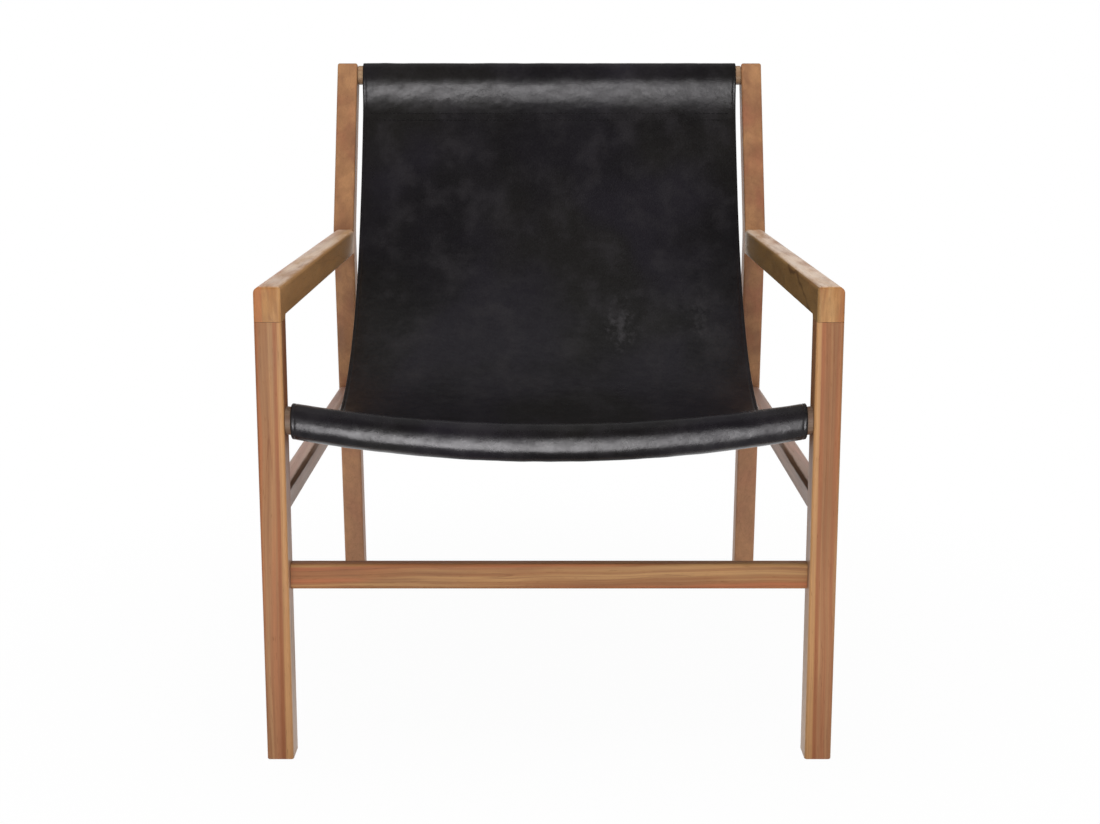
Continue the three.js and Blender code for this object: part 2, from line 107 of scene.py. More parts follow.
# %% Helpers: one node in one line
def add(tree, kind, feeds=(), **values):
    """Adds a node. values are its settings or plain inputs, feeds the links: (input, source)."""
    made = tree.nodes.new("ShaderNode" + kind)
    for key, value in values.items():
        if hasattr(made, key):
            setattr(made, key, value)
    for key, value in values.items():
        if not hasattr(made, key):
            made.inputs[key.replace("_", " ")].default_value = value
    for socket, source in feeds:
        tree.links.new(source, made.inputs[socket])
    return made


def feed(tree, socket, value):
    """Links a source to an input, or sets a plain value on it."""
    if isinstance(value, bpy.types.NodeSocket):
        tree.links.new(value, socket)
    else:
        socket.default_value = value


def calc(tree, operation, first, second=0.0):
    """A calculation with one or two numbers, each a source or a plain value."""
    node = add(tree, "Math", operation=operation)
    feed(tree, node.inputs[0], first)
    feed(tree, node.inputs[1], second)
    return node.outputs[0]


def times(tree, first, second):
    return calc(tree, "MULTIPLY", first, second)


def away_from(tree, value, middle=0.0):
    """How far a number lies from a middle, to either side."""
    return calc(tree, "ABSOLUTE", calc(tree, "SUBTRACT", value, middle) if middle else value)


def vector_calc(tree, operation, first, second=(0, 0, 0), output="Vector"):
    """The same with vectors. A length or a distance leaves by the output Value."""
    node = add(tree, "VectorMath", operation=operation)
    feed(tree, node.inputs[0], first)
    feed(tree, node.inputs[1], second)
    return node.outputs[output]


def split(tree, vector):
    """The X, Y and Z of a vector."""
    return add(tree, "SeparateXYZ", [("Vector", vector)]).outputs


def weighted(tree, *parts):
    """Adds up (source, weight) pairs."""
    total = 0.0
    for source, weight in parts:
        term = add(tree, "Math", [(0, source)], operation="MULTIPLY_ADD")
        term.inputs[1].default_value = weight
        feed(tree, term.inputs[2], total)
        total = term.outputs[0]
    return total


def between(tree, value, low, high, at_low=0.0, at_high=1.0, kind="SMOOTHSTEP"):
    """Goes softly from at_low to at_high while value goes from low to high, and is level beyond."""
    return add(tree, "MapRange", [("Value", value)], interpolation_type=kind, From_Min=low,
               From_Max=high, To_Min=at_low, To_Max=at_high).outputs[0]


def fading(tree, value, low, high):
    """1 below low, 0 above high."""
    return between(tree, value, low, high, 1.0, 0.0)


def straight(tree, value, low, high, at_low, at_high):
    """As between, but without easing in and out."""
    return between(tree, value, low, high, at_low, at_high, kind="LINEAR")


print("helpers for sums and steps ready")


# %% Helpers: mixtures, noise and empty materials
def mixed_shaders(tree, share, first, second):
    return add(tree, "MixShader", [("Fac", share), (1, first.outputs[0]), (2, second.outputs[0])])


def blend_colour(tree, share, first, second, amount=1.0):
    """Mixes two colours, each a source or a plain colour. amount is the second's most."""
    mix = add(tree, "Mix", [(0, times(tree, share, amount))], data_type="RGBA")
    for socket, colour in ((mix.inputs[6], first), (mix.inputs[7], second)):
        feed(tree, socket, (*colour, 1) if isinstance(colour, tuple) else colour)
    return mix.outputs[2]


def layered(tree, colour, *layers):
    """Lays more colours over a first one. Each layer is (share, colour, amount)."""
    for share, over, amount in layers:
        colour = blend_colour(tree, share, colour, over, amount)
    return colour


def cloudy(tree, place, scale, detail=3.0, roughness=0.55, seed=(0, 0, 0), output="Fac"):
    """Soft noise. scale says how many clouds fit into a metre along X, Y and Z."""
    spread = add(tree, "Mapping", [("Vector", place)], Scale=scale, Location=seed)
    return add(tree, "TexNoise", [("Vector", spread.outputs[0])], Scale=1.0, Detail=detail,
               Roughness=roughness).outputs[output]


def empty_material(name):
    finish = bpy.data.materials.new(name)
    finish.use_nodes = True
    finish.node_tree.nodes.clear()
    return finish, finish.node_tree


def finish_with(finish, colour, rough, shine, bump=None):
    """Gives a material its principled shader, fed with sources or plain values."""
    tree = finish.node_tree
    shader = add(tree, "BsdfPrincipled", [("Normal", bump)] if bump is not None else ())
    for socket, value in (("Base Color", colour), ("Roughness", rough), ("Specular IOR Level", shine)):
        feed(tree, shader.inputs[socket], value)
    add(tree, "OutputMaterial", [("Surface", shader.outputs["BSDF"])])
    return finish


def bumped(tree, height, strength, depth, over=()):
    """The surface's direction on a relief. over feeds it with another, coarser relief."""
    return add(tree, "Bump", [("Height", height), *over], Strength=strength, Distance=depth).outputs[0]


print("helpers for materials ready")

# %% [markdown]
# ## Studio: floor, room and lamps
# The chair stands in an empty white studio. The floor is white to the camera and still a real
# surface, so it keeps a faint shadow and throws light up at the undersides. In mirror images it
# is dimmer under the seat and before the legs, where the real floor lies in the chair's shade.
# The room is white too, but only up to about 30 degrees above the horizon: the ceiling over the
# set is dark. That matters for leather, which is nearly black and shows mostly what it mirrors.
# Only the stretches that face the bright lower part of the room shine.

# %% White floor
podium_radius, podium_sides = 1.3, 96
shadow_from, shadow_to, white_in_shadow = 0.3, 1.1, 0.97
dim_under_seat, dim_before_legs = 0.25, 0.2


def white_floor():
    finish, tree = empty_material("studio_floor")
    path = add(tree, "LightPath").outputs
    spot = add(tree, "TexCoord").outputs["Object"]
    way = split(tree, spot)
    away = vector_calc(tree, "LENGTH", spot, output="Value")
    seen = times(tree, path["Is Camera Ray"],
                between(tree, away, shadow_from, shadow_to, white_in_shadow, 1.0))
    # Painted shade: in mirror images the floor's glow is dimmed under the seat and before the legs.
    beside = between(tree, away_from(tree, way["X"]), 0.14, 0.23, dim_under_seat, 1.0)
    behind = between(tree, way["Y"], -0.05, 0.3, dim_under_seat, 1.0)
    lit_front = between(tree, way["Y"], -0.46, -0.38, dim_before_legs, 1.0)
    open_floor = times(tree, calc(tree, "MAXIMUM", beside, behind), lit_front)
    strength = calc(tree, "MAXIMUM", path["Is Camera Ray"], open_floor)
    lit = add(tree, "BsdfDiffuse", Color=(0.85, 0.85, 0.85, 1))
    glow = add(tree, "Emission", [("Strength", strength)], Color=(1, 1, 1, 1))
    both = mixed_shaders(tree, calc(tree, "MAXIMUM", seen, path["Is Glossy Ray"]), lit, glow)
    add(tree, "OutputMaterial", [("Surface", both.outputs[0])])
    return finish


podium_rim = [(podium_radius * math.cos(2 * math.pi * i / podium_sides),
               podium_radius * math.sin(2 * math.pi * i / podium_sides), 0) for i in range(podium_sides)]
floor_mesh = bpy.data.meshes.new("studio_floor")
floor_mesh.from_pydata(podium_rim, [], [tuple(range(podium_sides))])
floor = bpy.data.objects.new("studio_floor", floor_mesh)
floor.location.z = -0.5 * mm
floor.data.materials.append(white_floor())
into_scene(floor)
print("round white floor", 2 * podium_radius, "m across")

# %% White backdrop, dark ceiling
white_up_to, dark_from, ceiling_left = math.radians(16), math.radians(31), 0.16
behind_camera_left, fill_strength = 0.10, 0.45

room = bpy.data.worlds.new("studio_room")
bpy.context.scene.world = room
room.use_nodes = True
tree = room.node_tree
tree.nodes.clear()
path = add(tree, "LightPath").outputs
way = split(tree, add(tree, "TexCoord").outputs["Generated"])
ceiling = between(tree, way["Z"], math.sin(white_up_to), math.sin(dark_from), 1.0, ceiling_left)
backdrop = between(tree, way["Y"], -0.55, 0.1, behind_camera_left, 1.0)
mirrored = add(tree, "Background", [("Strength", times(tree, ceiling, backdrop))],
               Color=(1, 1, 1, 1))
fill = add(tree, "Background", Color=(1.0, 0.985, 0.97, 1), Strength=fill_strength)
seen = add(tree, "Background", Color=(1, 1, 1, 1), Strength=1.0)
lit_or_mirrored = mixed_shaders(tree, path["Is Glossy Ray"], fill, mirrored)
through = calc(tree, "MAXIMUM", path["Is Camera Ray"], path["Is Transmission Ray"])
room_light = mixed_shaders(tree, through, lit_or_mirrored, seen)
add(tree, "OutputWorld", [("Surface", room_light.outputs[0])])
print("room: white backdrop behind and beside the chair, dark overhead and behind the camera")

# %% [markdown]
# Two tall panels stand far in front of the podium and reach below its edge. They are what the
# leather mirrors: one long band in the front roll, one in the bulge under the top rail. The left
# panel is the stronger and lower one. Two more soft lamps, one above and one before the chair,
# light the timber. They are left out of mirror images, because the leather shows none of them.

# %% Soft lamps
panels_before = 8.0


def soft_lamp(name, place, aim, wide, tall, radiance, colour=(1, 1, 1)):
    """A rectangular lamp. radiance is how bright its face is, 1 being the white of the room."""
    lamp = bpy.data.lights.new(name, "AREA")
    lamp.shape = "RECTANGLE"
    lamp.size, lamp.size_y = wide, tall
    lamp.energy = radiance * math.pi * wide * tall
    lamp.color = colour
    holder = bpy.data.objects.new(name, lamp)
    holder.location = place
    holder.rotation_euler = (Vector(aim) - Vector(place)).to_track_quat("-Z", "Y").to_euler()
    holder.visible_camera = False
    into_scene(holder)
    return holder


def standing_panel(name, left, right, foot, head, radiance):
    place = ((left + right) / 2, -panels_before, (foot + head) / 2)
    return soft_lamp(name, place, (place[0], 0, place[2]), right - left, head - foot, radiance,
                     colour=(1.0, 0.975, 1.0))


panels = [standing_panel("panel_left", left=-1.38, right=0.2, foot=-3.0, head=0.70, radiance=7.6),
          standing_panel("panel_right", left=0.2, right=1.6, foot=-3.0, head=2.6, radiance=2.8)]
soft_lamps = [
    soft_lamp("overhead", (0, -0.4, 2.6), aim=(0, 0, 0.4), wide=2.4, tall=2.4, radiance=1.45),
    soft_lamp("before_the_chair", (0, -6.0, 0.45), aim=(0, 0, 0.3), wide=4.4, tall=3.4, radiance=1.7)]
for lamp in soft_lamps:
    lamp.visible_glossy = False
print("lamps:", ", ".join(lamp.name for lamp in panels + soft_lamps))

# %% [markdown]
# ## Timber
# Sawn timber is a block cut out of a tree, so its figure is three-dimensional: year rings around
# the heart, stretched along the trunk. A material that works in space gives the faces and the
# end grain of one timber lines that meet at the edges, which a flat picture can't. Each timber
# gets its own grain direction and its own place in an imaginary tree, so no two look alike.

# %% Timber in space: the block and its rings
grain_turns = {  # turns each timber's length onto the material's own Z, the trunk
    "up": Euler((0, 0, 0)),
    "deep": Euler((math.radians(90), 0, 0)),
    "across": Euler((0, math.radians(-90), 0)),
}
noise_spread = (0.3, 0.7)  # a noise hardly ever leaves this range
year_changes = 120  # how often good years turn into bad ones, per metre


def grain_noise(tree, place, across, along, detail=2.0, roughness=0.5, shift=0.0):
    """Cloudy noise drawn out along the grain. across has a step for each way across it."""
    return cloudy(tree, place, (*across, along), detail, roughness, (shift, shift, shift))


def sawn_block(tree, piece, runs, offset, tilt):
    """Where a point of the piece lies in its tree, and where the piece's middle lies."""
    turn = Euler([math.radians(a) for a in tilt]).to_matrix() @ grain_turns[runs].to_matrix()
    spot = add(tree, "TexCoord").outputs["Object"]
    turned = add(tree, "Mapping", [("Vector", spot)], Rotation=turn.to_euler(), Location=offset)
    turned = turned.outputs[0]
    low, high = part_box(piece)
    middle = turn @ ((Vector(low) + Vector(high)) / 2) + Vector(offset)
    drift = cloudy(tree, turned, (12, 12, 4.5), detail=2.0, roughness=0.5, output="Color")
    centred = vector_calc(tree, "SUBTRACT", drift, (0.5, 0.5, 0.5))
    bent = vector_calc(tree, "MULTIPLY", centred, (0.014, 0.014, 0))
    return spot, vector_calc(tree, "ADD", turned, bent), middle


def year_rings(tree, place, heart, rings_per_metre):
    """Late wood as soft dark rings around the heart: 0 in the early wood, 1 in the darkest line."""
    flat = vector_calc(tree, "MULTIPLY", place, (1, 1, 0))
    radius = vector_calc(tree, "DISTANCE", flat, (*heart, 0), output="Value")
    uneven = add(tree, "TexNoise", [("W", times(tree, radius, year_changes))],
                 noise_dimensions="1D", Scale=1.0, Detail=2.0).outputs["Fac"]
    year = calc(tree, "FRACT", weighted(tree, (radius, rings_per_metre), (uneven, 1.0)))
    late = add(tree, "ValToRGB", [("Fac", year)])
    late.color_ramp.elements[1].color = (0, 0, 0, 1)  # as dark at 1 as the first one at 0
    for position, level in ((0.45, 0.14), (0.80, 0.75), (0.93, 1.0)):
        late.color_ramp.elements.new(position).color = (level, level, level, 1)
    return late.outputs["Color"]


def toned(tree, colour, share, low, high):
    """The colour made darker or lighter by a share around the middle of a noise."""
    level = straight(tree, share, *noise_spread, low, high)
    return add(tree, "VectorMath", [(0, colour), ("Scale", level)], operation="SCALE").outputs[0]


print("grain directions:", ", ".join(grain_turns))


# %% An oiled timber: lines, streaks, fibres and pores
timbers = {}


def timber(piece, runs, heart_away, offset, colours, tilt=(0, 0, 0), figure=(1.0, 0.3), rings=150,
           dark_lines=0.45, rubbed_to=(0.38, 0.54), shine=0.3, extra=None):
    """Finishes an oiled timber. heart_away is how far the tree's heart lies from it, in metres."""
    pale, deep, red, line = colours
    finish, tree = empty_material("oiled_" + piece)
    spot, place, middle = sawn_block(tree, piece, runs, offset, tilt)
    heart = (middle.x + heart_away[0], middle.y + heart_away[1])

    def figured(step, along, **more):
        return grain_noise(tree, place, (step * figure[0], step * figure[1]), along, **more)

    broad = figured(105, 1.5)
    warm = figured(75, 1.1, shift=4.0)
    streak = figured(420, 4.5, detail=3.0, roughness=0.6)
    mottle = grain_noise(tree, place, (42, 42), 13, shift=7.0)
    fibre = figured(1500, 34, detail=3.0, roughness=0.6)
    pore = between(tree, grain_noise(tree, place, (1250, 1250), 75, detail=1.0), 0.64, 0.76)
    # Thin lines run where a drawn-out noise passes its middle.
    off_middle = away_from(tree, figured(85, 1.0, detail=1.0, shift=11.0), 0.5)
    lines = fading(tree, off_middle, 0.0, 0.014)

    colour = layered(tree, pale, (between(tree, broad, 0.36, 0.64), deep, 1.0),
                     (between(tree, warm, 0.44, 0.66), red, 0.75),
                     (year_rings(tree, place, heart, rings), line, 0.15))
    dull = None
    if extra:
        colour, dull = extra(tree, spot, colour)
    colour = blend_colour(tree, lines, colour, line, amount=dark_lines)
    colour = toned(tree, colour, streak, 0.90, 1.08)
    colour = toned(tree, colour, mottle, 0.94, 1.05)
    colour = blend_colour(tree, pore, colour, tuple(0.5 * c for c in line), amount=0.3)
    colour = toned(tree, colour, fibre, 0.94, 1.05)

    rubbed = weighted(tree, (mottle, 0.6), (streak, 0.4))
    rough = straight(tree, rubbed, *noise_spread, *rubbed_to)
    rough = weighted(tree, (pore, 0.2), (rough, 1.0))
    relief = bumped(tree, weighted(tree, (pore, -0.8), (fibre, 1.0)), 0.25, 0.1 * mm)
    if dull is not None:
        shine = straight(tree, dull, 0.0, 1.0, shine, 0.0)
    timbers[piece] = finish_with(finish, colour, rough, shine, relief)


print("one recipe for all timbers ready")

# %% [markdown]
# The colours come from the photograph's lit faces: pale tan between the lines, a warmer reddish
# brown in them. The legs are the reddest, the arms a little paler, and the low rails browner.
# The arms and front legs are sawn so that the year rings stand upright in the front faces. The
# faces toward the seat are then tangent to the rings, where the figure is wide and swirls.

# %% The colours of each timber
def from_screen(red, green, blue):
    """A colour as a screen shows it, 0 to 255, in the linear numbers that a shader takes."""
    return tuple((c / 255 / 12.92) if c < 10.3 else ((c / 255 + 0.055) / 1.055) ** 2.4
                 for c in (red, green, blue))


def four(*screen_colours):
    """Pale wood, deep wood, reddish wood and dark line."""
    return [from_screen(*c) for c in screen_colours]


leg_colours = four((175, 133, 92), (150, 103, 68), (160, 95, 60), (122, 68, 42))
back_leg_colours = four((174, 127, 86), (152, 107, 74), (156, 100, 72), (118, 74, 52))
arm_colours = four((186, 141, 90), (166, 117, 69), (168, 109, 67), (124, 72, 42))
stretcher_colours = four((180, 138, 92), (154, 106, 69), (174, 103, 69), (108, 66, 44))
# The side rails' pale pinkish colours are partly the wood's own and partly a painted sheen on their top and
# inner faces.
side_rail_colours_with_sheen = four((198, 166, 148), (174, 142, 124), (184, 142, 126), (130, 94, 76))
seat_rail_colours = four((130, 108, 90), (114, 92, 75), (120, 90, 72), (84, 62, 48))
top_rail_colours = four((172, 142, 110), (154, 122, 92), (152, 114, 86), (112, 80, 56))
raw_colours = four((206, 180, 140), (198, 168, 126), (196, 160, 118), (160, 122, 84))
golden_sapwood = from_screen(198, 150, 100)
sapwood_line = from_screen(150, 84, 52)
# Dark brown: a real heartwood line on one arm, and painted shade along the side rails' inner top edges.
heartwood_and_shade_brown = from_screen(70, 46, 28)
olive_heartwood = from_screen(146, 114, 70)
rubbed_wood_and_sheen = from_screen(232, 208, 186)
orange_wood = from_screen(178, 112, 68)
# Painted light and painted reflection: pale colours laid low on the legs and on their inner faces.
painted_light_wood = from_screen(206, 154, 118)
painted_reflection_wood = from_screen(226, 196, 170)
print("colours mixed for legs, arms and rails")

# %% [markdown]
# Small things set the pieces apart. Along the inner edge of each front leg runs a golden strip of
# sapwood, 5 mm wide, with a thin reddish line beside it. Low down the legs are painted paler, and
# their inner faces paler still: painted light, and a painted reflection of the bright floor. Along
# the inner top edge of each side rail runs a dark, ragged band of painted shade, where the rounded
# edge faces the seat's black underside. All of it is drawn by place in space, with some noise to
# make the borders uneven.

# %% Sapwood strip, painted light on the legs, painted shade on the side rails
leg_inner_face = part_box("front_leg_left")[0].x
rail_inner_face, side_rail_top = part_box("side_rail_left")[0].x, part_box("side_rail_left")[1].z
sapwood_wide, sapwood_ragged, sapwood_slant = 5.5 * mm, 2.4 * mm, 7 * mm
streak_in, streak_down, streak_ragged = 1.3 * mm, 2.6 * mm, 3.3 * mm
painted_light_up_to, painted_light_until = 0.10, 0.34


def sapwood_and_painted_light(tree, spot, colour):
    way = split(tree, spot)
    from_middle = away_from(tree, way["X"])
    near_front = fading(tree, calc(tree, "SUBTRACT", way["Y"], front_face_y), 3 * mm, 8 * mm)
    ragged = grain_noise(tree, spot, (30, 30), 5, detail=3.0)
    border = weighted(tree, (from_middle, 1.0), (ragged, sapwood_ragged), (way["Z"], sapwood_slant))
    edge = leg_inner_face + sapwood_wide + (sapwood_ragged + sapwood_slant) / 2
    inside = fading(tree, border, edge - 0.5 * mm, edge + 0.5 * mm)
    # Painted light: low down the legs are made paler, and their inner faces paler still as a painted
    # reflection of the bright floor.
    low = fading(tree, way["Z"], painted_light_up_to, painted_light_until)
    off_edge = away_from(tree, border, edge + 1.8 * mm)
    beside = times(tree, fading(tree, off_edge, 0.8 * mm, 4.2 * mm), near_front)
    facing_seat = fading(tree, from_middle, leg_inner_face + 0.2 * mm, leg_inner_face + 0.8 * mm)
    return layered(tree, colour, (low, painted_light_wood, 0.22),
                   (times(tree, inside, near_front), golden_sapwood, 0.7),
                   (beside, sapwood_line, 0.6), (times(tree, facing_seat, low), painted_reflection_wood, 0.7)), None


# Painted shade: a dark, ragged band along the side rail's rounded inner top edge, where it faces the seat's
# black underside; its shine is taken away too.
def painted_edge_shade(tree, spot, colour):
    way = split(tree, spot)
    from_middle = away_from(tree, way["X"])
    beside = calc(tree, "SUBTRACT", from_middle, rail_inner_face + streak_in)
    below = calc(tree, "SUBTRACT", way["Z"], side_rail_top - streak_down)
    across = add(tree, "CombineXYZ", [("X", beside), ("Y", below)])
    off = vector_calc(tree, "LENGTH", across.outputs[0], output="Value")
    ragged = grain_noise(tree, spot, (260, 20), 260, detail=3.0, roughness=0.65)
    gap = weighted(tree, (off, 1.0), (ragged, -streak_ragged))
    toward_front = fading(tree, way["Y"], -0.16, 0.10)
    dark = times(tree, fading(tree, gap, 0.5 * mm, 2.9 * mm), toward_front)
    return blend_colour(tree, dark, colour, heartwood_and_shade_brown, amount=0.78), dark


def painted_light_below_the_seat(tree, spot, colour):
    """Painted light: the back legs are made paler low down, where the seat shades them."""
    low = fading(tree, split(tree, spot)["Z"], 0.24, 0.34)
    return blend_colour(tree, low, colour, painted_light_wood, amount=0.45), None


print("sapwood from", round(leg_inner_face, 4), "m; heartwood below", round(side_rail_top, 4), "m")

# %% [markdown]
# Each arm is cut from its own board. Toward the seat one shows olive heartwood with a single dark
# line that wanders up to the back, the other golden sapwood. The tops are paler in patches, partly
# rubbed by hands and partly a painted sheen. The two arms share one function, and a small table
# says what each of them has.

# %% The arms' boards, and their tops: worn and painted with sheen
arm_inner_face, arm_outer_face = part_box("arm_left")[0].x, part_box("arm_left")[1].x
board_ragged = 5 * mm
dark_line_foot, dark_line_rise, dark_line_wander = Vector((48, 511)) * mm, 0.16, 76 * mm


def worn_arm(outer_orange, hand_worn_and_sheen, toward_seat, toward_seat_amount, dark_line):
    """The arms' own colours: another wood toward the seat, tops paler in patches from hand wear and painted
    sheen.
    """
    def dress(tree, spot, colour):
        way = split(tree, spot)
        from_middle = away_from(tree, way["X"])
        ragged = grain_noise(tree, spot, (60, 6), 24, detail=3.0)
        border = weighted(tree, (from_middle, 1.0), (ragged, board_ragged))
        inner = fading(tree, border, arm_inner_face + 3 * mm, arm_inner_face + 8 * mm)
        colour = blend_colour(tree, inner, colour, toward_seat, amount=toward_seat_amount)
        wander = grain_noise(tree, spot, (10, 10), 10)
        foot = dark_line_foot.y - dark_line_rise * (front_face_y + dark_line_foot.x)
        above = weighted(tree, (way["Z"], 1.0), (way["Y"], -dark_line_rise), (wander, dark_line_wander))
        line = fading(tree, away_from(tree, above, foot + dark_line_wander / 2), 0.4 * mm, 4.2 * mm)
        behind_leg = between(tree, way["Y"], front_face_y + 20 * mm, front_face_y + 45 * mm)
        line = times(tree, times(tree, line, inner), behind_leg)
        colour = blend_colour(tree, line, colour, heartwood_and_shade_brown, amount=dark_line)
        if outer_orange:
            outer = between(tree, from_middle, arm_outer_face - 10.5 * mm, arm_outer_face - 8.5 * mm)
            colour = blend_colour(tree, outer, colour, orange_wood, amount=0.7)
        # Hand wear and painted sheen: the upward faces are made pale pinkish in patches.
        on_top = between(tree, split(tree, add(tree, "NewGeometry").outputs["Normal"])["Z"], 0.55, 0.95)
        patches = grain_noise(tree, spot, (44, 9), 44, detail=4.0, roughness=0.6, shift=2.0)
        rubbed = times(tree, on_top, between(tree, patches, 0.25, 0.62))
        return blend_colour(tree, rubbed, colour, rubbed_wood_and_sheen, amount=hand_worn_and_sheen), None
    return dress


arm_wear = {
    "left": {"outer_orange": False, "hand_worn_and_sheen": 0.9, "dark_line": 0.55,
             "toward_seat": olive_heartwood, "toward_seat_amount": 0.75},
    "right": {"outer_orange": True, "hand_worn_and_sheen": 0.65, "dark_line": 0.0,
              "toward_seat": golden_sapwood, "toward_seat_amount": 0.6},
}
print("boards chosen for the arms:", ", ".join(arm_wear))

# %% Finish each timber
for side, hand, drift in (("left", 1, 0.0), ("right", -1, 0.37)):
    timber("front_leg_" + side, "up", (hand * 0.30, 0.04), (drift, 0.0, 0.3 + drift), leg_colours,
           tilt=(0.4, hand * 0.5, 0), figure=(1.0, 0.25), dark_lines=0.32, rubbed_to=(0.32, 0.48),
           shine=0.18, extra=sapwood_and_painted_light)
    timber("back_leg_" + side, "up", (hand * 0.05, 0.35), (drift, 0.4, 2.1 + drift), back_leg_colours,
           tilt=(9.0, hand * 0.6, 0), figure=(0.3, 0.8), rings=110, dark_lines=0.12,
           extra=painted_light_below_the_seat)
    timber("arm_" + side, "deep", (hand * 0.32, 0.03), (drift, 0.0, 4.4 + drift), arm_colours,
           tilt=(0.9, hand * 1.0, 0), figure=(1.0, 0.14), dark_lines=0.22, rubbed_to=(0.32, 0.48),
           shine=0.2, extra=worn_arm(**arm_wear[side]))
    timber("side_rail_" + side, "deep", (hand * 0.20, -0.15), (drift, 0.3, 6.1 + drift),
           side_rail_colours_with_sheen, figure=(1.0, 0.8), dark_lines=0.25, rubbed_to=(0.40, 0.54),
           extra=painted_edge_shade)
timber("front_stretcher", "across", (0.25, 0.05), (0.1, 0.2, 8.3), stretcher_colours, tilt=(0, 0.5, 0),
       figure=(1.2, 0.9), dark_lines=0.3, shine=0.2)
for name, heart_away, offset, colours in (
        ("back_stretcher", (0.20, 0.10), (0.3, 0.1, 9.1), stretcher_colours),
        ("seat_front_rail", (-0.20, 0.10), (0.2, 0.1, 10.4), seat_rail_colours),
        ("top_rail", (0.15, -0.10), (0.1, 0.4, 11.9), top_rail_colours)):
    timber(name, "across", heart_away, offset, colours, figure=(1.0, 0.6))
dowels = [name for name in frame["nodes"] if name.startswith("arm_dowel")]
timber(dowels[0], "deep", (0.05, 0.02), (0.2, 0.2, 12.5), raw_colours)
timbers.update(dict.fromkeys(dowels, timbers[dowels[0]]))
for name, node in frame["nodes"].items():
    if name != "sling":
        node.data.materials.clear()
        node.data.materials.append(timbers[name])
print("timbers finished:", len(timbers))

# %% [markdown]
# A CAD model is made of flat facets, so its eased edges would show as narrow strips. The shape is
# right and stays as it is. Only the direction in which light leaves each corner is averaged over
# the facets that meet there at a small angle. Large faces count most, so they stay flat and the
# strips between them look round.


# %% Let the eased edges shade as rounds
def read(items, attribute, width=1, kind=float):
    """An attribute of all of a mesh's items, as rows of numbers."""
    found = np.zeros(len(items) * width, kind)
    items.foreach_get(attribute, found)
    return found.reshape(-1, width) if width > 1 else found


def shade_eased_edges(node, limit=38.0):
    mesh = node.data
    corners = read(mesh.loops, "vertex_index", kind=int)
    points = read(mesh.vertices, "co", 3)
    normals, sizes = read(mesh.polygons, "normal", 3), read(mesh.polygons, "area")
    owner = np.repeat(np.arange(len(mesh.polygons)), read(mesh.polygons, "loop_total", kind=int))
    places = np.round(points[corners] / (0.01 * mm)).astype(int)
    order = np.lexsort(places.T)
    breaks = np.any(np.diff(places[order], axis=0), axis=1)
    shaded = np.zeros((len(mesh.loops), 3))
    for together in np.split(order, np.nonzero(breaks)[0] + 1):
        meeting = np.unique(owner[together])
        close = normals[owner[together]] @ normals[meeting].T > math.cos(math.radians(limit))
        shaded[together] = (close * sizes[meeting]) @ normals[meeting]
    shaded /= np.maximum(np.linalg.norm(shaded, axis=1, keepdims=True), 1e-12)
    mesh.polygons.foreach_set("use_smooth", [True] * len(mesh.polygons))
    mesh.normals_split_custom_set([tuple(n) for n in shaded])
    return len(mesh.polygons)


shaded_faces = sum(shade_eased_edges(node) for name, node in frame["nodes"].items() if name != "sling")
print("facets shaded as rounds:", shaded_faces)

# %% [markdown]
# ## The hide
# The sling is one piece of saddle leather, 3.5 mm thick. Each end is folded over its rail and
# sewn down in a sleeve, so it hangs between the rails like a hammock. Seen from the side it is a
# single line: flap, seam, once around the front rail, down along the seat, up the back, once
# around the top rail, seam, flap. That line is drawn first, from the rails that the frame gives.

# %% Where the rails are
hide_thickness = 3.5 * mm
room_at_rail = 0.3 * mm
middle_off_rail = room_at_rail + hide_thickness / 2
front_corner_radius, top_corner_radius = 12 * mm, 9 * mm
back_recline = math.radians(22.15)
recline_up = Vector((math.sin(back_recline), math.cos(back_recline)))
recline_back = Vector((math.cos(back_recline), -math.sin(back_recline)))
sleeve_slack = 2.5 * mm
seat_rail_height, seat_rail_depth = 31 * mm, 28 * mm
top_rail_height, top_rail_depth = 27.5 * mm, 22 * mm

low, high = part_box("seat_front_rail")
seat_rail_centre = Vector(((low.y + high.y) / 2 - front_face_y, high.z - seat_rail_height / 2))
seat_rail_dip = high.z - low.z - seat_rail_height
low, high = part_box("top_rail")
top_rail_centre = Vector(((low.y + high.y) / 2 - front_face_y, (low.z + high.z) / 2))
print("front rail", [round(v / mm, 1) for v in seat_rail_centre], "mm, dips", round(seat_rail_dip / mm, 1))
print("top rail", [round(v / mm, 1) for v in top_rail_centre], "mm")

# %% [markdown]
# The side view needs only two kinds of line: arcs around the rails' rounded corners, and easy
# curves that leave one point and reach the next in given directions. Another helper walks a
# distance along a line, as a maker lays a tape along the leather.

# %% Helpers for lines: arcs and easy curves
def toward(bearing):
    """A direction in the side view, in degrees: 0 to the back of the chair and 90 up."""
    return Vector((math.cos(math.radians(bearing)), math.sin(math.radians(bearing))))


def left_of(way):
    """The direction square to a way: outward, on the hide's grain side."""
    return Vector((-way.y, way.x))


def at(centre, radius, bearing):
    return centre + radius * toward(bearing)


def arc(centre, radius, start, end, step=6.0):
    count = max(1, round(abs(end - start) / step))
    return [at(centre, radius, start + (end - start) * i / count) for i in range(count + 1)]


def easy_curve(a, a_handle, b_handle, b, count):
    """Sets off from a toward a_handle and reaches b coming from b_handle."""
    found = []
    for i in range(count + 1):
        t = i / count
        u = 1 - t
        found.append(u ** 3 * a + 3 * u ** 2 * t * a_handle + 3 * u * t ** 2 * b_handle + t ** 3 * b)
    return found


def length_of(line):
    return sum((b - a).length for a, b in zip(line, line[1:]))


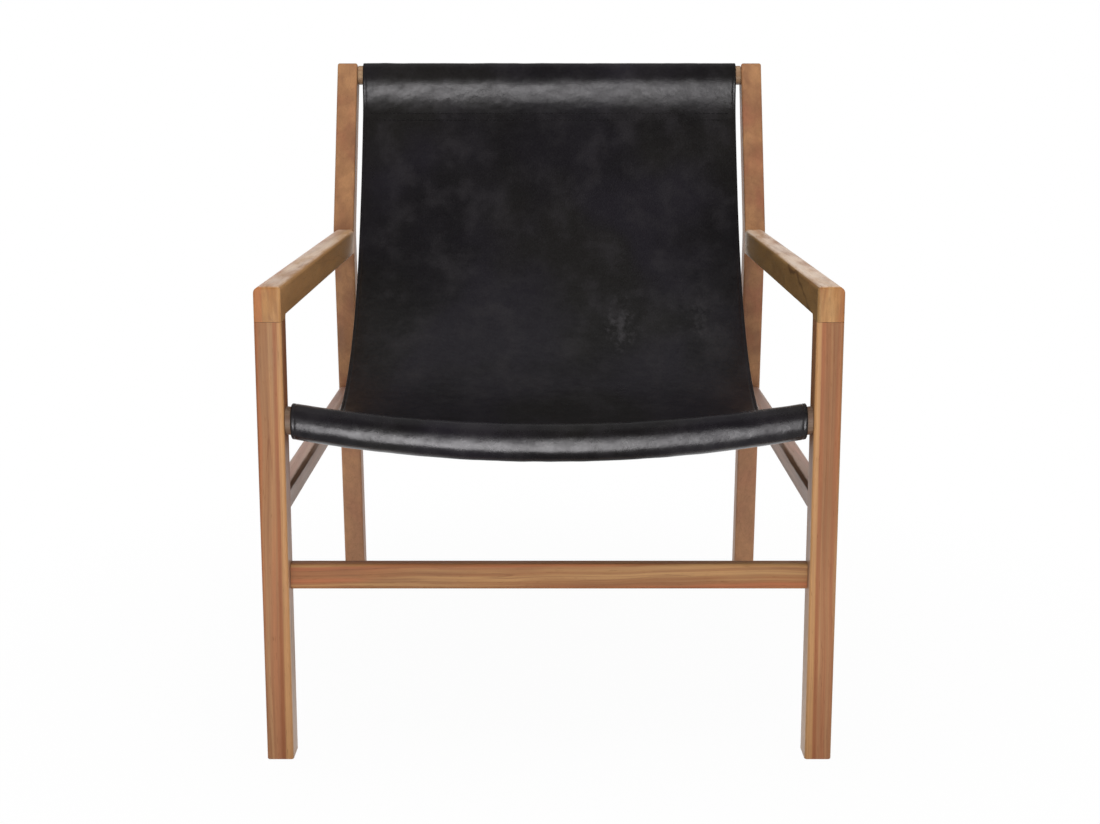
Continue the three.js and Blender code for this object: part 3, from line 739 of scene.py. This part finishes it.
def walk(line, distance):
    """The point that far along a line, and the line's way there."""
    for a, b in zip(line, line[1:]):
        step = (b - a).length
        if distance <= step and step > 0:
            return a + (b - a) * (distance / step), (b - a) / step
        distance -= step
    return line[-1], (line[-1] - line[-2]).normalized()


def clamped(share):
    return min(max(share, 0), 1)


def eased(share):
    """A share from 0 to 1 that sets off and arrives gently."""
    return share * share * (3 - 2 * share)


print("drawing helpers ready")

# %% [markdown]
# The hanging part leaves the front roll at 32 degrees downward, swings through the lowest point
# of the seat and rises to the top seam. Above that seam the hide is double. The stiff double
# leather stands off the top rail's front face in a soft bulge that is nearly upright, and this
# bulge is what catches the light below the rail.

# %% The bulge under the top rail
lean_at_rail, lean_of_bulge, lean_of_back = 26.0, -1.0, 21.5
bulge_above, bulge_below = 31 * mm, 53 * mm
front_half = Vector((seat_rail_depth / 2 - front_corner_radius, seat_rail_height / 2 - front_corner_radius))
top_half = Vector((top_rail_depth / 2 - top_corner_radius, top_rail_height / 2 - top_corner_radius))
front_top_back = seat_rail_centre + front_half
front_top_front = seat_rail_centre + Vector((-front_half.x, front_half.y))
front_low_front = seat_rail_centre - front_half - Vector((0, sleeve_slack))
front_round, top_round = front_corner_radius + middle_off_rail, top_corner_radius + middle_off_rail


def on_top_rail(back, up):
    return top_rail_centre + recline_back * back + recline_up * up


def bend(begin, lean_first, lean_last, length, count=16):
    """Walks down the front of the hide while its lean from upright changes smoothly."""
    found = [begin]
    for i in range(count):
        lean = lean_first + (lean_last - lean_first) * eased((i + 0.5) / count)
        found.append(found[-1] - toward(90 - lean) * length / count)
    return found


top_high_front = on_top_rail(-top_half.x, top_half.y)
top_high_back = on_top_rail(top_half.x, top_half.y)
top_low_back = on_top_rail(top_half.x, -top_half.y)
off_rail = at(top_high_front, top_round, 180 - lean_at_rail)
upper_bulge = bend(off_rail, lean_at_rail, lean_of_bulge, bulge_above)
bulge = upper_bulge + bend(upper_bulge[-1], lean_of_bulge, lean_of_back, bulge_below)[1:]
print("bulge", round(length_of(bulge) / mm), "mm long, from the rail down to the back")

# %% The hanging line, from the front roll to the top roll
seat_depart = 32.3
seat_low = Vector((345, 310)) * mm
front_pull, low_pull_front, low_pull_back, back_pull = 0.394, 0.333, 0.66, 0.36
level = Vector((1, 0))
start, end = at(front_top_back, front_round, 90 - seat_depart), bulge[-1]
start_way, end_way = toward(-seat_depart), toward(90 - lean_of_back)
seat_run, back_run, back_rise = seat_low.x - start.x, end.x - seat_low.x, end.y - seat_low.y
hanging = easy_curve(start, start + start_way * front_pull * seat_run,
                     seat_low - level * low_pull_front * seat_run, seat_low, 60)
hanging += easy_curve(seat_low, seat_low + level * low_pull_back * back_run,
                      end - end_way * back_pull * back_rise, end, 90)[1:]
hanging += bulge[::-1][1:]
print("hanging part", round(length_of(hanging) / mm), "mm long, lowest at", round(seat_low.y / mm), "mm")

# %% [markdown]
# Each sleeve closes with a flap that lies under the hide, and a free stretch of leather, here
# called the tail, leads from the rail to it. The front roll's face is slightly convex, and the
# leather hangs a little slack under the rail, because a stiff hide doesn't follow sharp corners.

# %% The two sleeves
front_sleeve, top_sleeve, seam_allowance = 66 * mm, 64 * mm, 22 * mm
lay_gap = 0.1 * mm
tail_pull = 0.42
face_lean, face_tilt = 16.0, 2.0
recline_deg = math.degrees(back_recline)


def flap(seam_distance, direction, count=8):
    """The flap's middle line, lying on the hide's underside from the seam onward."""
    found = []
    for i in range(count + 1):
        point, way = walk(hanging, seam_distance + direction * seam_allowance * i / count)
        found.append(point - left_of(way) * (hide_thickness + lay_gap))
    return found


def tail(roll_end, way_out, lying):
    """The free stretch from the end of the roll to the flap."""
    reach = (lying[0] - roll_end).length * tail_pull
    way_in = (lying[1] - lying[0]).normalized()
    return easy_curve(roll_end, roll_end + way_out * reach, lying[0] - way_in * reach, lying[0], 14)


front_flap = flap(front_sleeve, 1)
top_flap = flap(length_of(hanging) - top_sleeve, -1)
front_tail = tail(at(front_low_front, front_round, 270), level, front_flap)
roll_behind = at(top_low_back, top_round, -recline_deg)
top_tail = tail(roll_behind, -recline_up, top_flap)
face_top_bearing, face_foot_bearing = 180 - face_tilt - face_lean, 180 - face_tilt + face_lean
face_tall = front_top_front.y - front_low_front.y
low_loop = front_low_front - Vector((face_tall * math.tan(math.radians(face_tilt)), 0))
face_top = at(front_top_front, front_round, face_top_bearing)
face_foot = at(low_loop, front_round, face_foot_bearing)
face_radius = (face_top - face_foot).length / (2 * math.sin(math.radians(face_lean)))
face_centre = at(face_top, -face_radius, face_top_bearing)
around_front = (arc(low_loop, front_round, 270, face_foot_bearing)
                + arc(face_centre, face_radius, face_foot_bearing, face_top_bearing, step=3.0)[1:]
                + arc(front_top_front, front_round, face_top_bearing, 90)[1:]
                + arc(front_top_back, front_round, 90, 90 - seat_depart))
around_top = (arc(top_high_front, top_round, 180 - lean_at_rail, 90 - recline_deg)
              + arc(top_high_back, top_round, 90 - recline_deg, -recline_deg) + [roll_behind])
whole = (front_flap[::-1] + front_tail[::-1][1:] + around_front[1:] + hanging[1:] + around_top[1:]
         + top_tail[1:] + top_flap[1:])
print("hide from flap to flap:", round(length_of(whole) / mm), "mm")

# %% [markdown]
# The line is now turned into a strip with an even thickness and a row of points every few
# millimetres. Across the width the points are closest at the two cut edges: there the maker
# rounds the edge and presses a fine crease beside it, 4 mm in.

# %% Even points along the hide
row_step, field_step = ((2.5 * mm, 5 * mm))
row_count = round(length_of(whole) / row_step)
rows = [walk(whole, length_of(whole) * i / row_count)[0] for i in range(row_count)] + [whole[-1]]
ways = [(rows[min(i + 1, len(rows) - 1)] - rows[max(i - 1, 0)]).normalized() for i in range(len(rows))]
outward = [left_of(way) for way in ways]
print("rows along the hide:", len(rows))

# %% Across the hide: edge, crease and field
half_width_front, half_width_top = 283.4 * mm, 282.0 * mm
half = hide_thickness / 2
edge_round, edge_points, edge_band = 1.5 * mm, 3, 11 * mm
crease_in, crease_deep = 4.3 * mm, 0.22 * mm
edge_profile = [  # distance in from the cut edge, height from the middle, on the grain side
    (0.0, half - edge_round), (0.2 * mm, half - 0.75 * mm), (0.7 * mm, half - 0.22 * mm),
    (edge_round, half), (2.2 * mm, half), (crease_in - 0.9 * mm, half),
    (crease_in - 0.4 * mm, half - crease_deep * 0.6), (crease_in, half - crease_deep),
    (crease_in + 0.4 * mm, half - crease_deep * 0.6), (crease_in + 0.9 * mm, half),
    (7.5 * mm, half), (edge_band, half)]
field = round(2 * (half_width_front - edge_band) / field_step)
across = [(-1, inset, height) for inset, height in edge_profile]
across += [(0, i / field, half) for i in range(1, field)]
across += [(1, inset, height) for inset, height in edge_profile[::-1]]
print("points across the hide:", len(across))

# %% [markdown]
# Leather is never quite flat. Over the rails it shows shallow dents where it was pulled tight,
# and the free seat and back are slightly wavy. The front rail is bowed downward in its middle, so
# the hide dips with it, and the dip fades out toward the back. The front sleeve's lower half has
# settled: drawn up at its ends, pushed forward between them. All of these are plain formulas.

# %% Dip, taper and unevenness
bow_half = 290 * mm
bow_radius = (bow_half ** 2 + seat_rail_dip ** 2) / (2 * seat_rail_dip)
dip_from, dip_over = 20 * mm, 600 * mm
dent_rise, wave_rise, free_dent_rise = 0.36 * mm, 0.9 * mm, 0.22 * mm
drawn_up, pushed_forward = 2.6 * mm, 1.8 * mm
settled_over, sleeve_from, sleeve_over = 18 * mm, 60 * mm, 100 * mm
front_roll_radius, top_roll_radius, near_rail = 24 * mm, 20 * mm, 40 * mm


def dip(x, y):
    """How far the hide lies lower at x than at its edges, y behind the front of the legs."""
    deep = math.sqrt(bow_radius ** 2 - x ** 2) - (bow_radius - seat_rail_dip)
    along = clamped((y - dip_from) / dip_over)
    return deep * (1 + math.cos(math.pi * along)) / 2


def unevenness(x, along, on_rail):
    """Shallow dents and waves, outward only where a rail is close behind."""
    dents = (noise.noise(Vector((x * 38, along * 62, 3.1)))
             + 0.5 * noise.noise(Vector((x * 90, along * 120, 7.7))))
    waves = noise.noise(Vector((x * 7, along * 11, 1.3)))
    return (dent_rise * (dents + 0.75) * on_rail
            + (wave_rise * waves + free_dent_rise * dents) * (1 - on_rail))


def settled(x, base):
    """How far the front sleeve's lower half is drawn up at its ends and pushed forward between."""
    below = clamped((seat_rail_centre.y - base.y) / settled_over)
    behind = clamped((base.x - seat_rail_centre.x - sleeve_from) / sleeve_over)
    in_sleeve = below * (1 - eased(behind))
    to_end = (x / half_width_front) ** 2
    return drawn_up * in_sleeve * to_end, pushed_forward * in_sleeve * (1 - to_end)


def half_width_at(y):
    """The hide tapers slightly from the front rail to the top rail."""
    return half_width_front + (half_width_top - half_width_front) * (y / top_rail_centre.x)


def hide_point(row, side, inset, height, along):
    base, out = rows[row], outward[row]
    half_width = half_width_at(base.x)
    x = side * (half_width - inset) if side else (2 * inset - 1) * (half_width - edge_band)
    height += unevenness(x, along, close_to_rail[row])
    y, z = base.x + out.x * height, base.y + out.y * height
    up, forward = settled(x, base)
    return (x, y + front_face_y - forward, z - dip(x, y) + up)


def closeness(point):
    """1 where the hide lies on a rail, 0 well off it."""
    gap = min((point - seat_rail_centre).length - front_roll_radius,
              (point - top_rail_centre).length - top_roll_radius)
    return clamped(1 - gap / near_rail)


close_to_rail = [closeness(point) for point in rows]
print("rows on or near a rail:", sum(share > 0.5 for share in close_to_rail))

# %% [markdown]
# Now the strip is built row by row: a grain side, a flesh side without the crease, and the cut
# edges between them. The flaps' ends are pared thin, as a saddler does. The rounded edge belongs
# to the cut edge's finish, because the maker burnishes them together.

# %% Build the hide
grain, flesh, cut = 0, 1, 2  # the finishes' places in the hide's list
pared = 0.35


def as_object(name, built):
    """Puts a built mesh into the scene as a smooth object."""
    bmesh.ops.recalc_face_normals(built, faces=built.faces)
    for face in built.faces:
        face.smooth = True
    mesh = bpy.data.meshes.new(name)
    built.to_mesh(mesh)
    built.free()
    made = bpy.data.objects.new(name, mesh)
    into_scene(made)
    return made


def flesh_height(inset, height):
    """The flesh side is rounded at the edge too, but has no crease."""
    return half if height > half - 0.5 * mm and inset > edge_round else height


hide_mesh = bmesh.new()
walked, outer_rows, inner_rows = 0.0, [], []
for row in range(len(rows)):
    walked += (rows[row] - rows[row - 1]).length if row else 0
    thin = pared if row in (0, len(rows) - 1) else 1.0
    outer, inner = [], []
    for side, inset, height in across:
        below = -flesh_height(inset, height)
        outer.append(hide_mesh.verts.new(hide_point(row, side, inset, height * thin, walked)))
        inner.append(hide_mesh.verts.new(hide_point(row, side, inset, below * thin, walked)))
    outer_rows.append(outer)
    inner_rows.append(inner)
last = len(across) - 1
for row in range(len(rows) - 1):
    o, p, i, j = outer_rows[row], outer_rows[row + 1], inner_rows[row], inner_rows[row + 1]
    for col in range(last):
        rounded = col < edge_points or col >= last - edge_points
        upper = hide_mesh.faces.new((o[col], o[col + 1], p[col + 1], p[col]))
        upper.material_index = cut if rounded else grain
        hide_mesh.faces.new((i[col + 1], i[col], j[col], j[col + 1])).material_index = flesh
    hide_mesh.faces.new((i[0], o[0], p[0], j[0])).material_index = cut
    hide_mesh.faces.new((o[last], i[last], j[last], p[last])).material_index = cut
for o, i, turn in ((outer_rows[0], inner_rows[0], 1), (outer_rows[-1], inner_rows[-1], -1)):
    for col in range(last):
        corners = (o[col], i[col], i[col + 1], o[col + 1])
        hide_mesh.faces.new(corners[::turn]).material_index = cut
hide = as_object("hide", hide_mesh)
print("hide faces:", len(hide.data.polygons))

# %% [markdown]
# ## Leather
# The grain side is dyed charcoal and waxed: nearly black, a trace of violet, cloudy where the wax
# has been rubbed. Its gloss is satin and uneven, and a fine pebble grain breaks the highlight up.
# Low on the back are two pale, frayed scuffs. The flesh side is duller and fuzzy, and the cut
# edges are burnished smooth. Noise of several sizes gives all of this without a picture.

# %% Grain side: the dye
upper_back_shade_place, scuff_colour = (-0.04, 0.37, 0.69), from_screen(64, 61, 64)
scuffs = (((0.1025, 0.200, 0.408), 0.6), ((0.219, 0.213, 0.421), 0.3))  # place, strength


def dyed(tree, place, clouds, patches, behind_roll):
    """The dye's colour, cloudy and paler in patches, with painted shade high on the back and behind the front
    roll.
    """
    violet, warm_black = from_screen(31, 28, 34), from_screen(29, 27, 26)
    worn, deep = from_screen(45, 42, 45), from_screen(18, 16, 17)
    dye = cloudy(tree, place, (5, 4, 5), detail=2.0, seed=(6, 2, 8))
    # Painted shade: the upper back is darkened around one place, and the dip behind the front roll too.
    off_upper_back_shade = vector_calc(tree, "DISTANCE", place, upper_back_shade_place, output="Value")
    uneven = weighted(tree, (off_upper_back_shade, 1.0), (clouds, 0.16), (patches, 0.14))
    dip_shade = times(tree, fading(tree, split(tree, place)["Z"], 0.31, 0.365), behind_roll)
    return layered(tree, violet, (between(tree, dye, 0.42, 0.62), warm_black, 1.0),
                   (between(tree, clouds, 0.44, 0.64), deep, 0.7),
                   (between(tree, patches, 0.45, 0.72), worn, 0.5),
                   (fading(tree, uneven, 0.17, 0.33), deep, 0.55), (dip_shade, deep, 0.4))


def scuffed(tree, place, colour):
    """Two frayed scuffs low on the back."""
    flecks = cloudy(tree, place, (120, 90, 100), detail=4.0, roughness=0.6, seed=(2, 7, 5))
    for scuff, strength in scuffs:
        off = vector_calc(tree, "SUBTRACT", place, scuff)
        drawn_out = vector_calc(tree, "MULTIPLY", off, (1.9, 0.8, 0.8))
        far = vector_calc(tree, "LENGTH", drawn_out, output="Value")
        frayed = fading(tree, weighted(tree, (far, 1.0), (flecks, -0.15)), -0.085, -0.036)
        colour = blend_colour(tree, frayed, colour, scuff_colour, amount=strength)
    return colour


print("scuffs on the grain side:", len(scuffs))


# %% Grain side: the wax and the relief
def grain_side():
    finish, tree = empty_material("hide_grain_side")
    place = add(tree, "TexCoord").outputs["Object"]
    way = split(tree, place)
    clouds = cloudy(tree, place, (6, 5, 5), detail=4.0, seed=(1, 2, 4))
    patches = cloudy(tree, place, (24, 20, 22), detail=4.0, seed=(3, 1, 2))
    rubbed = cloudy(tree, place, (80, 100, 100), detail=2.0, seed=(9, 4, 1))
    mottle = cloudy(tree, place, (210, 210, 210), detail=2.0, seed=(4, 4, 7))
    pebble = cloudy(tree, place, (620, 620, 620), detail=1.0)
    behind_roll = between(tree, way["Y"], -0.38, -0.34)
    colour = scuffed(tree, place, dyed(tree, place, clouds, patches, behind_roll))
    dull = weighted(tree, (patches, 0.20), (rubbed, 0.14), (clouds, 0.12), (behind_roll, 0.083))
    rough = straight(tree, dull, 0.14, 0.423, 0.21, 0.38)
    wax = straight(tree, weighted(tree, (mottle, 0.4), (rubbed, 0.6)), 0.34, 0.66, 0.58, 0.95)
    crumpled = times(tree, mottle, between(tree, way["X"], 0.04, 0.16))
    coarse = weighted(tree, (patches, 1.0), (rubbed, 0.7), (mottle, 0.15), (crumpled, 0.35))
    dents = bumped(tree, coarse, 0.35, 0.9 * mm)
    return finish_with(finish, colour, rough, wax, bumped(tree, pebble, 0.15, 0.05 * mm, [("Normal", dents)]))


print("grain side ready")


# %% Flesh side and cut edge
def flesh_side():
    finish, tree = empty_material("hide_flesh_side")
    place = add(tree, "TexCoord").outputs["Object"]
    clouds = cloudy(tree, place, (12, 20, 20), detail=4.0, seed=(5, 5, 5))
    fuzz = cloudy(tree, place, (900, 900, 900), detail=3.0, roughness=0.7)
    colour = layered(tree, from_screen(42, 38, 37),
                     (between(tree, clouds, 0.35, 0.65), from_screen(62, 57, 54), 1.0),
                     (between(tree, fuzz, 0.5, 0.75), from_screen(84, 78, 73), 0.4))
    rough = straight(tree, fuzz, 0.0, 1.0, 0.78, 0.95)
    return finish_with(finish, colour, rough, 0.3, bumped(tree, fuzz, 0.5, 0.25 * mm))


def cut_edge():
    finish, tree = empty_material("hide_cut_edge")
    layers = cloudy(tree, add(tree, "TexCoord").outputs["Object"], (500, 90, 90), detail=2.0)
    colour = blend_colour(tree, layers, from_screen(20, 18, 18), from_screen(36, 33, 32))
    return finish_with(finish, colour, straight(tree, layers, 0.0, 1.0, 0.50, 0.70), 0.25)


for finish in (grain_side(), flesh_side(), cut_edge()):
    hide.data.materials.append(finish)
print("finishes on the hide:", [m.name for m in hide.data.materials])

# %% [markdown]
# ## Stitches
# A saddler sews each sleeve with two rows of heavy waxed thread through both layers, so the rows
# show on the seat's upper side and on the flap. Each stitch is a short piece of thread whose ends
# dive into the leather. All of them are one mesh, because there are several hundred. The thread
# is as dark and dull as the hide, so from a few steps away the seams hardly show.

# %% Sew the seams
stitch_length, stitch_pitch, thread_radius = 5.2 * mm, 6.6 * mm, 0.42 * mm
stitch_arch, stitch_sunk, stitch_flat, stitch_off = 1.35, 0.95, 0.8, 0.35 * mm
stitch_rings, stitch_sides = 6, 6
row_insets = (4.5 * mm, 15 * mm)
from_edge = 9 * mm


def add_stitch(sewn, x, point, out, lift):
    """One stitch across the hide's width, its ends sunk into the leather."""
    up_way, side_way = Vector((0, out.x, out.y)), Vector((0, -out.y, out.x))
    turns = [2 * math.pi * s / stitch_sides for s in range(stitch_sides)]
    previous = None
    for k in range(stitch_rings + 1):
        t = k / stitch_rings
        along = x + (t - 0.5) * stitch_length
        arch = thread_radius * (stitch_arch * math.sin(math.pi * t) - stitch_sunk)
        rise = lift + arch * (1 if lift > 0 else -1)
        y, z = point.x + out.x * rise, point.y + out.y * rise
        centre = Vector((along, y + front_face_y, z - dip(along, y)))
        ring = [sewn.verts.new(centre + thread_radius * (up_way * math.sin(turn) * stitch_flat
                                                          + side_way * math.cos(turn)))
                for turn in turns]
        if previous:
            for a, b, c, d in zip(previous, previous[1:] + previous[:1], ring[1:] + ring[:1], ring):
                sewn.faces.new((a, b, c, d))
        else:
            sewn.faces.new(ring[::-1])
        previous = ring
    sewn.faces.new(previous)


sewn, sewn_count = bmesh.new(), 0
for first, direction in ((front_sleeve, 1), (length_of(hanging) - top_sleeve, -1)):
    for inset in row_insets:
        point, way = walk(hanging, first + direction * inset)
        out = left_of(way)
        count = int(2 * (half_width_at(point.x) - from_edge) / stitch_pitch)
        for i in range(count):
            for lift in (half + stitch_off, -(half + lay_gap + hide_thickness + stitch_off)):
                add_stitch(sewn, (i - (count - 1) / 2) * stitch_pitch, point, out, lift)
                sewn_count += 1
stitches = as_object("sleeve_stitches", sewn)
print("stitches:", sewn_count)


# %% Waxed thread
def waxed_thread():
    finish, tree = empty_material("waxed_thread")
    place = add(tree, "TexCoord").outputs["Object"]
    twist = add(tree, "TexWave", [("Vector", place)], wave_type="BANDS", bands_direction="DIAGONAL",
                Scale=420, Distortion=1.5).outputs["Fac"]
    colour = blend_colour(tree, twist, from_screen(24, 23, 24), from_screen(40, 38, 39))
    return finish_with(finish, colour, 0.75, 0.25, bumped(tree, twist, 0.5, 0.15 * mm))


stitches.data.materials.append(waxed_thread())
print("finish on the stitches:", stitches.data.materials[0].name)

# %% [markdown]
# ## The hide joins the frame
# The hide replaces the CAD model's plain sling, and both the hide and its stitches ride on the
# chair's single rigid body.

# %% Ride and replace
for piece in (hide, stitches):
    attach(piece, "root")
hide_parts("sling")

# %% Finish
bpy.context.scene.view_settings.view_transform = "Standard"
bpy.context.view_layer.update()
